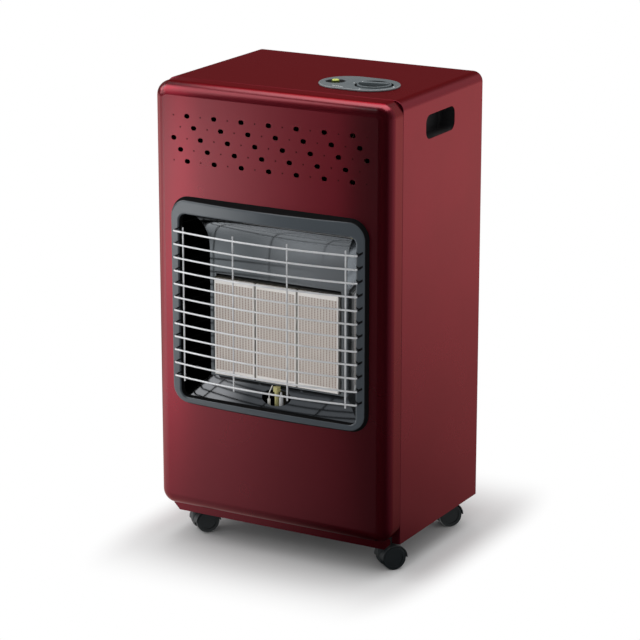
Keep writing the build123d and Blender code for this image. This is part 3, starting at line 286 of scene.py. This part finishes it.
moulded_grey = ((0.092, 0.112, 0.122), (0.084, 0.103, 0.113))
finishes = {
    "cabinet_paint": burgundy("burgundy_wrap_paint", 0.45, (0.265, 0.019, 0.046), (0.240, 0.016, 0.040)),
    "panel_paint": burgundy("burgundy_panel_paint", 1.0, (0.265, 0.011, 0.026), (0.240, 0.009, 0.022)),
    "tray_paint": material("black_stove_paint", (0.035, 0.035, 0.038), rough=0.5, Specular_IOR_Level=0.4),
    "galvanised": material("galvanised_sheet", (0.55, 0.56, 0.57), (0.42, 0.43, 0.45), mottle=40, rough=0.38,
                           grain=300, depth=0.02, Metallic=0.95),
    "cup_plastic": material("black_cup_plastic", (0.012, 0.012, 0.014), rough=0.55),
    "bezel_grey": material("blue_grey_enamel", (0.068, 0.082, 0.096), (0.060, 0.073, 0.086), rough=0.40,
                           grain=1500, depth=0.006, Metallic=0.3, Coat_Weight=1.0, Coat_Roughness=0.05),
    "polished": material("polished_reflector", (0.36, 0.38, 0.40), (0.33, 0.35, 0.37), mottle=14, rough=0.08,
                         spread=0.0, grain=20, depth=0.0001, stretch=(0.2, 1, 1), Metallic=1.0),
    "guard_chrome": material("bright_plated_wire", (0.78, 0.79, 0.81), (0.70, 0.71, 0.73), mottle=40,
                             rough=0.28, Metallic=0.45),
    "ceramic": material("fired_clay", (0.88, 0.85, 0.82), (0.82, 0.79, 0.76), mottle=25, rough=0.85,
                        grain=1200, depth=0.06),
    "head_steel": material("aluminised_steel", (0.42, 0.42, 0.42), (0.34, 0.33, 0.31), rough=0.4,
                           Metallic=0.9),
    "brass": material("turned_brass", (0.80, 0.76, 0.38), (0.68, 0.62, 0.26), rough=0.24, Metallic=0.55),
    "copper_pipe": material("copper_tube", (0.80, 0.48, 0.34), (0.68, 0.38, 0.26), rough=0.28, Metallic=0.6),
    "probe_steel": material("turned_steel", (0.86, 0.87, 0.88), rough=0.25, Metallic=0.45),
    "insulator": material("glazed_insulator", (0.86, 0.85, 0.82), (0.80, 0.79, 0.76), rough=0.18,
                          Coat_Weight=0.6),
    "lead_rubber": material("lead_sleeve", (0.02, 0.02, 0.02), rough=0.6),
    "plate_grey": material("plate_moulding", *moulded_grey, rough=0.42, grain=2200, depth=0.02),
    "knob_grey": material("knob_moulding", *moulded_grey, rough=0.40, grain=2200, depth=0.02),
    "die_cast": material("die_cast_alloy", (0.52, 0.53, 0.54), (0.44, 0.45, 0.46), mottle=60, rough=0.45,
                         grain=500, depth=0.04, Metallic=0.9),
    "spring_steel": material("spring_wire", (0.45, 0.45, 0.46), rough=0.3, Metallic=1.0),
    "igniter_black": material("igniter_moulding", (0.025, 0.025, 0.028), rough=0.45),
    "button_green": material("green_button_moulding", (0.60, 0.68, 0.10), (0.54, 0.62, 0.08), rough=0.28,
                             Coat_Weight=0.5),
    "zinc_plated": material("bright_zinc", (0.86, 0.86, 0.85), (0.76, 0.76, 0.75), rough=0.24, Metallic=0.5),
    "caster_black": material("caster_moulding", (0.036, 0.040, 0.042), (0.028, 0.032, 0.034), rough=0.32,
                             grain=1500),
    "wheel_black": material("wheel_moulding", (0.014, 0.018, 0.020), (0.011, 0.015, 0.017), rough=0.30,
                            grain=1200),
    "grommet_rubber": material("grommet_rubber", (0.02, 0.02, 0.02), rough=0.65),
    "screw_zinc": material("screw_plating", (0.70, 0.70, 0.68), rough=0.28, Metallic=1.0),
}

# --- where a finish changes over a piece: mostly painted light and shade ---

# painted shade on the wrap's top and the panel's side returns, painted light on the top of the panel's roll
wrap_top_painted_shade = (0.220, 0.009, 0.022)
panel_side_painted_shade = (0.200, 0.010, 0.024)
roll_top_painted_light = (0.260, 0.016, 0.030)
inside_painted_shade = (0.004, 0.003, 0.003)         # painted shade inside the wrap
# painted shade on the heat shield's front, seen through the vents
shield_painted_shade = (0.01, 0.01, 0.01)
# painted shade on the burner heads' fronts in the gaps between the plaques
head_gap_painted_shade = (0.055, 0.047, 0.028)
button_shade = (0.05, 0.07, 0.005)
wall_and_shadow_black = (0.002, 0.002, 0.003)            # edge walls of the bezel, and painted shadows of the bars' ends on it
right_end_grey = (0.16, 0.175, 0.185)        # painted light and shade of the reflector, as are the next five
back_grey = (0.145, 0.161, 0.174)
floor_grey = (0.185, 0.190, 0.200)
bright_back = (0.40, 0.43, 0.46)
dark_floor = (0.038, 0.042, 0.047)
left_end_black = (0.02, 0.02, 0.022)
leg_painted_shade = (0.01, 0.012, 0.015)             # painted shade on the turned-back ends of the guard's bars and on their rear sides
well_painted_shade = (0.003, 0.003, 0.004)           # painted shade in the sunk places of the control plate and the knob
# painted highlight along the control plate's edge
plate_rim_highlight = (0.21, 0.23, 0.24)
# painted shade down the columns and in the pits of the plaques' relief
groove_painted_shade = (0.42, 0.335, 0.300)
pit_painted_shade = (0.17, 0.12, 0.10)


def tint(made, mask, colour, gloss=None, rough=None, metal=None):
    """Mixes another colour into a material where a mask is 1, with its coat, roughness and metal there."""
    tree = made.node_tree
    principled = tree.nodes["Principled BSDF"]
    base = principled.inputs["Base Color"]
    under = base.links[0].from_socket
    tree.links.new(mix_colour(tree, mask, under, colour), base)
    for socket, value in (("Coat Weight", gloss), ("Roughness", rough), ("Metallic", metal)):
        if value is not None:
            entry = principled.inputs[socket]
            plain = entry.links[0].from_socket if entry.is_linked else entry.default_value
            blend = node(tree, "ShaderNodeMix", ((0, mask), (2, plain), (3, value)))
            tree.links.new(blend.outputs[0], entry)


def near_axis(tree, place, centre, radius, blur=0.3 * mm):
    """1 inside an upright cylinder round a centre."""
    across = math_node(tree, "SUBTRACT", place[0], centre.x)
    along = math_node(tree, "SUBTRACT", place[1], centre.y)
    square = math_node(tree, "MULTIPLY_ADD", across, across, math_node(tree, "MULTIPLY", along, along))
    return between(tree, math_node(tree, "SQRT", square), radius, radius - blur)


def dull_and_shade_paint():
    """The top of the wrap, the top of the panel's roll and the panel's side returns carry less lacquer gloss
    and
    their own tones: painted shade darkens the wrap's top and the returns, and painted light gives the roll's
    top a paler tone. The inside of the wrap, where the face and the place have opposite signs, is painted
    black as shade."""
    paint = finishes["cabinet_paint"]
    tree = paint.node_tree
    way = facing(tree)
    tint(paint, between(tree, way[2], 0.7, 0.98), wrap_top_painted_shade, gloss=0.10)
    inside = math_node(tree, "MULTIPLY", way[0], at_place(tree)[0])
    tint(paint, between(tree, inside, -0.1, -0.17), inside_painted_shade, gloss=0.0, rough=1.0)
    paint = finishes["panel_paint"]
    tree = paint.node_tree
    way = facing(tree)
    sideways = math_node(tree, "ABSOLUTE", way[0])
    tint(paint, between(tree, sideways, 0.3, 0.8), panel_side_painted_shade, gloss=0.4)
    tint(paint, between(tree, way[2], 0.84, 0.96), roll_top_painted_light, gloss=0.08)


def crown_panel():
    """The face of the front panel is crowned a little: from crown_start to crown_end off the middle it
    falls back by crown_rate times the cube of the distance, in metres."""
    crown_start = 110.0 * mm
    crown_end = 193.0 * mm
    crown_rate = 9.5
    tree = finishes["panel_paint"].node_tree
    off_middle = math_node(tree, "ABSOLUTE", at_place(tree)[0])
    beyond = math_node(tree, "MAXIMUM", math_node(tree, "SUBTRACT", off_middle, crown_start), 0.0)
    beyond = math_node(tree, "MINIMUM", beyond, crown_end - crown_start)
    drop = math_node(tree, "MULTIPLY", math_node(tree, "POWER", beyond, 3.0), -crown_rate)
    normal = tree.nodes["Principled BSDF"].inputs["Normal"]
    before = normal.links[0].from_socket
    crown = node(tree, "ShaderNodeBump", (("Height", drop), ("Distance", 1.0), ("Normal", before)))
    tree.links.new(crown.outputs[0], normal)


def darken_shield():
    """The heat shield's front, seen through the vents, is painted black: painted shade."""
    made = finishes["galvanised"]
    front = between(made.node_tree, facing(made.node_tree)[1], -0.4, -0.8)
    tint(made, front, shield_painted_shade)


def darken_heads():
    """The burner heads' fronts, seen between the plaques, are painted dark brown and dull: painted shade in
    the gaps.
    """
    made = finishes["head_steel"]
    front = between(made.node_tree, facing(made.node_tree)[1], -0.4, -0.8)
    tint(made, front, head_gap_painted_shade, rough=0.8, metal=0.2)


def darken_button_side():
    """Only the button's dome is bright: its side sits in shade."""
    made = finishes["button_green"]
    side = between(made.node_tree, facing(made.node_tree)[2], 0.75, 0.35)
    tint(made, side, button_shade, gloss=0.0)


def bar_shadow_strips(tree, place, past_bend, slope, rise, side, start, end):
    """1 in a row of slanted strips, one for each bar, that paint the shadows and reflections of the bars'
    ends on the bezel. A strip's middle lies above its bar by rise plus slope times the distance past the
    bend, and side, start and end are the places where its edges begin and end to fade. Rise and these places
    are in millimetres."""
    bar_space = 16.0 * mm
    row_foot = bar_low - 3.0 * mm
    row_top = bar_high + 9.0 * mm
    fade = 1.0 * mm
    above_bar = math_node(tree, "WRAP", math_node(tree, "SUBTRACT", place[2], bar_low), bar_space,
                          bar_space - bar_pitch)
    off_strip = math_node(tree, "SUBTRACT", math_node(tree, "MULTIPLY_ADD", past_bend, -slope, above_bar),
                         rise * mm)
    return product(tree, between(tree, math_node(tree, "ABSOLUTE", off_strip), side[0] * mm, side[1] * mm),
                   between(tree, past_bend, start[0] * mm, start[1] * mm),
                   between(tree, past_bend, end[0] * mm, end[1] * mm),
                   between(tree, place[2], row_foot, row_foot + fade),
                   between(tree, place[2], row_top, row_top - fade))


def darken_bezel():
    """The bezel's edge walls are painted black, and so are slanted strips by the ends of the bars, as painted
    shadows and reflections of the bars' ends: on both sides inward of the bends, and on the right side
    outward of them too."""
    made = finishes["bezel_grey"]
    tree = made.node_tree
    upright = math_node(tree, "ABSOLUTE", facing(tree)[1])
    tint(made, between(tree, upright, 0.72, 0.42), wall_and_shadow_black, gloss=0.0, rough=1.0)
    place = at_place(tree)
    inward = math_node(tree, "SUBTRACT", bar_bend_x, math_node(tree, "ABSOLUTE", place[0]))
    # painted shadows and reflections of the bars' ends on the bezel
    shadow_strips = bar_shadow_strips(tree, place, inward, slope=0.5, rise=0.8, side=(1.5, 0.9), start=(-0.8, 0.0),
                      end=(9.0, 8.0))
    tint(made, shadow_strips, wall_and_shadow_black, gloss=0.0, rough=1.0)
    outward = math_node(tree, "SUBTRACT", place[0], bar_bend_x)
    shadow_strips = bar_shadow_strips(tree, place, outward, slope=0.6, rise=0.4, side=(2.2, 1.5), start=(-0.5, 0.3),
                      end=(7.0, 6.0))
    tint(made, shadow_strips, wall_and_shadow_black, gloss=0.0, rough=1.0)


def paint_reflector_shading():
    """Painted light and shade on the reflector: its right end, its back and its floor each have their own
    grey, the right half of the back is painted bright, the right of the floor dark and the left end nearly
    black."""
    made = finishes["polished"]
    tree = made.node_tree
    way = facing(tree)
    across = at_place(tree)[0]
    floor = between(tree, way[2], 0.4, 0.65)
    right_of_back = product(tree, between(tree, way[1], -0.6, -0.9), between(tree, across, -0.06, 0.07))
    right_of_floor = product(tree, floor, between(tree, across, -0.10, -0.04))
    tint(made, between(tree, way[0], -0.4, -0.8), right_end_grey)
    tint(made, between(tree, way[1], -0.9, -0.995), back_grey, metal=0.68)
    tint(made, floor, floor_grey)
    tint(made, right_of_back, bright_back)
    tint(made, right_of_floor, dark_floor, metal=0.85)
    tint(made, between(tree, way[0], 0.35, 0.5), left_end_black)


def darken_guard_legs():
    """The stretch of each bar that turns back into the bezel is painted dull and dark, and so is its rear
    side: painted shade.
    """
    made = finishes["guard_chrome"]
    tree = made.node_tree
    place = at_place(tree)
    off_middle = math_node(tree, "ABSOLUTE", place[0])
    out = between(tree, off_middle, guard_high.x - 4.5 * mm, guard_high.x - 2.5 * mm)
    behind = between(tree, place[1], bar_end_y + 0.5 * mm, bar_end_y + 2.5 * mm)
    tint(made, product(tree, out, behind), leg_painted_shade)
    tint(made, between(tree, facing(tree)[1], 0.1, 0.5), leg_painted_shade, rough=1.0)


def darken_wells():
    """The igniter dish, the gap round the knob and the two finger scoops are painted black as shade, and the
    plate's rim is painted pale as a highlight."""
    dish_radius = 17.0 * mm
    well_radius = 31.0 * mm
    scoop_radius = 25.6 * mm
    grip_half = 4.55 * mm
    plate = finishes["plate_grey"]
    tree = plate.node_tree
    place = at_place(tree)
    sunk = between(tree, place[2], plate_top - 0.2 * mm, plate_top - 0.7 * mm)
    holes = math_node(tree, "MAXIMUM", near_axis(tree, place, button_centre, dish_radius),
                      near_axis(tree, place, knob_centre, well_radius))
    tint(plate, product(tree, sunk, holes), well_painted_shade, rough=1.0)
    level = facing(tree)[2]
    # painted highlight on the plate's edge
    rim = product(tree, between(tree, level, 0.97, 0.85), between(tree, level, 0.05, 0.3),
                  math_node(tree, "SUBTRACT", 1.0, holes))
    tint(plate, rim, plate_rim_highlight)
    knob = finishes["knob_grey"]
    tree = knob.node_tree
    place = at_place(tree)
    across = math_node(tree, "SUBTRACT", place[0], knob_centre.x)
    along = math_node(tree, "SUBTRACT", place[1], knob_centre.y)
    off_grip = math_node(tree, "MULTIPLY_ADD", across, -math.sin(knob_turned),
                         math_node(tree, "MULTIPLY", along, math.cos(knob_turned)))
    beside = between(tree, math_node(tree, "ABSOLUTE", off_grip), grip_half, grip_half + 0.25 * mm)
    sunk = between(tree, place[2], knob_high.z - 2.9 * mm, knob_high.z - 3.6 * mm)
    scoops = product(tree, beside, sunk, near_axis(tree, place, knob_centre, scoop_radius))
    skirt = between(tree, place[2], plate_top - 0.5 * mm, plate_top - 2.0 * mm)
    tint(knob, math_node(tree, "MAXIMUM", scoops, skirt), well_painted_shade, rough=1.0)


dull_and_shade_paint()
crown_panel()
darken_shield()
darken_heads()
darken_button_side()
darken_bezel()
paint_reflector_shading()
darken_guard_legs()
darken_wells()

for part in frame["record"]["subparts"]:
    for slot in nodes[part["node"]].material_slots:
        slot.material = finishes[part["material_slot"]]
for slot in nodes["front_panel"].material_slots:
    slot.material = finishes["panel_paint"]

# --- control plate and knob marks ---

marks = material("printed_mark", (0.85, 0.86, 0.86), (0.80, 0.81, 0.81), rough=0.5)
dot_profile = ((0, 0.12), (0.9, 0.12), (1.2, 0.05), (1.2, -0.1), (0, -0.1))       # (r, h) in millimetres
dot_sides = 20
igniter_dots = [((64.0 + 3.4 * i) * mm, (45.0 - 0.6 * i) * mm) for i in range(6)]
pointer_reach = 18.5 * mm
pointer_tip = (knob_centre.x - pointer_reach * math.cos(knob_turned),
               knob_set_back - pointer_reach * math.sin(knob_turned))


def print_dots(name, places, top, size, body):
    """Flat printed dots of one size, at places given from the middle of the heater and from the seam."""
    centres = [(x, seam_y + y, top) for x, y in places]
    points, faces = turned_forms(centres, [(r * size * mm, h * mm) for r, h in dot_profile], dot_sides)
    add_piece(name, points, faces, body, marks)


print_dots("mark_off", [(83.0 * mm, knob_set_back)], plate_top, 0.9, "cabinet")
print_dots("mark_low", [(114.0 * mm, 38.5 * mm)], plate_top, 1.2, "cabinet")
print_dots("mark_high", [(152.0 * mm, knob_set_back)], plate_top, 1.2, "cabinet")
print_dots("igniter_marks", igniter_dots, plate_top, 0.9, "cabinet")
print_dots("knob_pointer", [pointer_tip], knob_high.z, 0.9, "knob")

# --- plaque reliefs ---

rim_side = 1.5 * mm
rim_end = 8.0 * mm
recess = 0.6 * mm
column_pitch = 5.3 * mm
pit_pitch = 3.9 * mm
relief_gap = 0.05 * mm
groove_share = 0.55                          # of the recess, for the columns; the pits have the rest
groove_points = 8                            # of the grid, across a column
pit_points = 6                               # of the grid, along a pit


def relief_material():
    """Fired clay, pale on the ribs, tan down the columns and brown in the pits: the tan and brown, and the
    field being darker than the plaques' rims, are painted shade.
    """
    made = material("pierced_clay", (0.64, 0.60, 0.56), (0.60, 0.56, 0.52), mottle=30, rough=0.9, grain=1500,
                    depth=0.04)
    tree = made.node_tree
    low = node(tree, "ShaderNodeAttribute", attribute_name="depth").outputs["Fac"]
    tint(made, between(tree, low, 0.15, 0.75), groove_painted_shade)
    tint(made, between(tree, low, 0.75, 1.0), pit_painted_shade)
    return made


def plaque_relief(name, face):
    """Ribs and pits. The groove is half of one minus the cosine across a column, and along is the same down
    the column, shifted by half a pitch in every other one. The depth is a share of the groove to the power
    0.8, and the rest of it is the groove squared times along squared."""
    low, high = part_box(name)
    left, right = low.x + rim_side + relief_gap, high.x - rim_side - relief_gap
    foot, top = low.z + rim_end + relief_gap, high.z - rim_end - relief_gap
    columns = round((right - left) / column_pitch)
    pits = round((top - foot) / pit_pitch)
    u = np.linspace(0, columns, columns * groove_points + 1)
    v = np.linspace(0, pits, pits * pit_points + 1)
    groove = 0.5 - 0.5 * np.cos(2 * math.pi * u)
    stagger = 0.5 * (np.floor(np.minimum(u, columns - 0.01)) % 2)
    along = 0.5 - 0.5 * np.cos(2 * math.pi * (v[:, None] + stagger))
    depth = groove_share * groove ** 0.8 + (1 - groove_share) * groove ** 2 * along ** 2
    depth[:, 0] = depth[:, -1] = 0.0
    front = low.y + relief_gap + (recess - 2 * relief_gap) * depth
    points, faces = closed_slab(np.linspace(left, right, len(u)), np.linspace(foot, top, len(v)), front,
                                low.y + recess)
    piece = add_piece(name.replace("burner_", "") + "_relief", points, faces, "cabinet", face,
                      smooth=False)
    around = np.zeros((len(v) + 2, len(u) + 2))
    around[1:-1, 1:-1] = depth
    add_attribute(piece, "depth", around)


pierced = relief_material()
for side in ("left", "centre", "right"):
    plaque_relief(f"burner_plaque_{side}", pierced)

# --- pin dimples between the vents ---

vent_rows = ((-3.0, 7), (-2.75, 7), (-3.5, 8), (-3.25, 7), (-3.0, 7))   # first vent, in pitches, and count
vent_pitch = 49.0 * mm
vent_row_pitch = 18.0 * mm
vent_top = wrap_high.z - 51.0 * mm
panel_reach = 175.0 * mm
dimple_profile = ((0, 0.03), (0.7, 0.04), (1.15, 0.10), (1.3, 0.0), (0, -0.05))   # (r, h) in millimetres
dimple_sides = 14


def dimple_centres():
    """Half a pitch before each vent and after the last one of its row, as far as the panel is flat."""
    rows = []
    for row, (start, count) in enumerate(vent_rows):
        x = (start - 0.5 + np.arange(count + 1)) * vent_pitch
        x = x[abs(x) <= panel_reach]
        z = np.full(len(x), vent_top - row * vent_row_pitch)
        rows.append(np.stack([x, np.full(len(x), panel_face), z], axis=-1))
    return np.concatenate(rows)


# painted shade: the dimples are dark discs in place of the shade inside them
dimple_shade = material("dimple_paint", (0.05, 0.001, 0.003), rough=0.7, dust=0.0, Specular_IOR_Level=0.05)
points, faces = turned_forms(dimple_centres(), [(r * mm, h * mm) for r, h in dimple_profile], dimple_sides,
                             across=(1, 0, 0), up=(0, 0, 1))
add_piece("pin_dimples", points, faces, "cabinet", dimple_shade)

# --- stage: floor, light and camera ---

front_slope = 0.6                            # sideways run of the floor's left card, for each metre in depth
floor_stops = ((-180, 0.4), (-100, 0.5), (-60, 0.0), (55, 0.0), (85, 0.14), (120, 0.32), (150, 0.52),
               (180, 0.45))
wall_stops = ((-180, 0.20), (-120, 0.22), (-60, 0.08), (-30, 0.0), (50, 0.0), (90, 0.12), (130, 0.40),
              (160, 0.50), (180, 0.20))


def level_ramp(tree, place, stops):
    """A brightness that changes with the direction round the heater, from stops in degrees from the front."""
    side = three_parts(tree, place)
    angle = math_node(tree, "ARCTAN2", side[0], math_node(tree, "MULTIPLY", side[1], -1.0))
    turn = math_node(tree, "MULTIPLY_ADD", angle, 0.5 / math.pi, 0.5)
    ramp = node(tree, "ShaderNodeValToRGB", ((0, turn),))
    band = ramp.color_ramp
    band.interpolation = "EASE"
    while len(band.elements) < len(stops):
        band.elements.new(0.5)
    for element, (degrees, value) in zip(band.elements, stops):
        element.position = degrees / 360 + 0.5
        element.color = (value, value, value, 1)
    return ramp.outputs[0]


def floor_gloss(tree, place):
    """How bright the floor is to a glossy ray. It is dark in front and pale at the back, a bright card lies
    at the left front with its edge aslant, a faint one lies close in front, and all but that one grow
    brighter with the distance from the heater."""
    flat = three_parts(tree, place)
    far = node(tree, "ShaderNodeVectorMath", ((0, place),), operation="LENGTH").outputs["Value"]
    across = math_node(tree, "MULTIPLY_ADD", flat[1], -front_slope, flat[0])
    card_edge = between(tree, across, 0.27, -0.36, 0.0, 1.66)
    card_fall = between(tree, across, -0.5, -1.5, 1.0, 0.35)
    card_front = between(tree, flat[1], 0.25, -0.15)
    card_end = between(tree, far, 3.4, 5.2, 1.0, 0.0)
    card_rise = between(tree, far, 0.3, 3.0, 0.35, 1.5)
    left_card = product(tree, card_edge, card_fall, card_front, card_end, card_rise)
    near_card = product(tree, between(tree, far, 2.2, 0.8, 0.0, 0.13), between(tree, across, 0.42, 0.15),
                        between(tree, flat[1], -0.25, -0.4))
    room = product(tree, level_ramp(tree, place, floor_stops), between(tree, far, 0.3, 3.0, 0.70, 1.5))
    return math_node(tree, "ADD", math_node(tree, "ADD", left_card, room), near_card)


def floor_fade(tree, place):
    """0 under and close to the heater and 1 a little way off. The gap to the heater counts more at its
    sides than before and behind it."""
    side_weight = 2.6
    flat = three_parts(tree, place)
    past = [math_node(tree, "SUBTRACT", math_node(tree, "ABSOLUTE", along), half)
            for along, half in ((flat[0], wrap_high.x), (flat[1], wrap_high.y))]
    beside, before = [math_node(tree, "MAXIMUM", distance, 0.0) for distance in past]
    weighted = math_node(tree, "MULTIPLY", beside, side_weight)
    gap = node(tree, "ShaderNodeCombineXYZ", ((0, weighted), (1, before))).outputs[0]
    clear = node(tree, "ShaderNodeVectorMath", ((0, gap),), operation="LENGTH").outputs["Value"]
    return between(tree, clear, 0.05, 0.25)


def emission(tree, strength):
    """White light of a strength, which is a socket or a number."""
    return node(tree, "ShaderNodeEmission", (("Color", (1, 1, 1, 1)), ("Strength", strength))).outputs[0]


def mixed(tree, mask, first, second):
    """The first shader where the mask is 0 and the second where it is 1."""
    return node(tree, "ShaderNodeMixShader", ((0, mask), (1, first), (2, second))).outputs[0]


def stage_floor():
    """A flat disc that takes the heater's shadow close by and fades to the backdrop's white."""
    radius = np.array([0.0, 0.4, 0.9, 1.6, 3.0, 8.0])
    disc_sides = 64
    turn = np.linspace(0, 2 * math.pi, disc_sides, endpoint=False)
    points = np.stack([radius[:, None] * np.cos(turn), radius[:, None] * np.sin(turn),
                       np.zeros((len(radius), len(turn)))], axis=-1).reshape(-1, 3)
    mesh = bpy.data.meshes.new("floor")
    mesh.from_pydata(points.tolist(), [], grid_faces(len(radius), len(turn), around=True).tolist())
    floor = bpy.data.objects.new("floor", mesh)
    bpy.context.scene.collection.objects.link(floor)
    made = bpy.data.materials.new("floor_white")
    made.use_nodes = True
    tree = made.node_tree
    tree.nodes.clear()
    place = node(tree, "ShaderNodeTexCoord").outputs["Object"]
    lit = node(tree, "ShaderNodeBsdfDiffuse", (("Color", (0.80, 0.80, 0.80, 1)),)).outputs[0]
    seen = mixed(tree, floor_fade(tree, place), lit, emission(tree, 1.0))
    path = node(tree, "ShaderNodeLightPath")
    both = mixed(tree, path.outputs["Is Glossy Ray"], seen, emission(tree, floor_gloss(tree, place)))
    node(tree, "ShaderNodeOutputMaterial", (("Surface", both),))
    mesh.materials.append(made)


def background(tree, strength):
    """White world light of a strength, which is a socket or a number."""
    return node(tree, "ShaderNodeBackground", (("Color", (1, 1, 1, 1)), ("Strength", strength))).outputs[0]


def stage_world():
    """White to the camera, soft grey for diffuse light, and a dark room with pale walls for gloss."""
    world = bpy.data.worlds.new("studio")
    bpy.context.scene.world = world
    world.use_nodes = True
    tree = world.node_tree
    tree.nodes.clear()
    way = node(tree, "ShaderNodeTexCoord").outputs["Generated"]
    path = node(tree, "ShaderNodeLightPath")
    glossy = background(tree, level_ramp(tree, way, wall_stops))
    room = mixed(tree, path.outputs["Is Glossy Ray"], background(tree, 0.66), glossy)
    both = mixed(tree, path.outputs["Is Camera Ray"], room, background(tree, 1.0))
    node(tree, "ShaderNodeOutputWorld", (("Surface", both),))


def softbox(name, place, aim, size, power):
    """A rectangular lamp that points from its place at its aim."""
    lamp = bpy.data.lights.new(name, "AREA")
    lamp.shape = "RECTANGLE"
    lamp.size, lamp.size_y = size
    lamp.energy = power
    holder = bpy.data.objects.new(name, lamp)
    holder.location = place
    holder.rotation_euler = (Vector(aim) - Vector(place)).to_track_quat("-Z", "Y").to_euler()
    bpy.context.scene.collection.objects.link(holder)


def stage_camera(lens, place, down, round_z):
    """A camera that looks down by one angle and is turned about Z by another, in degrees."""
    camera = bpy.data.objects.new("camera", bpy.data.cameras.new("camera"))
    camera.data.lens = lens
    camera.location = place
    camera.rotation_euler = (math.radians(90 - down), 0, math.radians(round_z))
    bpy.context.scene.collection.objects.link(camera)
    bpy.context.scene.camera = camera


stage_floor()
stage_world()
softbox("card_left", place=(-1.30, -0.95, 1.5), aim=(-0.4, -0.1, 0.9), size=(1.1, 1.8), power=8.0)
softbox("top", place=(0.1, 0.55, 3.0), aim=(0.1, 0.1, 0.5), size=(3.2, 2.3), power=41)
softbox("key_left", place=(-2.9, -1.0, 2.3), aim=(0, 0, 0.4), size=(1.6, 1.8), power=14)
stage_camera(lens=152.526, place=(2.05745, -3.69331, 1.57482), down=16.1064, round_z=29.2504)
bpy.context.scene.view_settings.view_transform = "Standard"
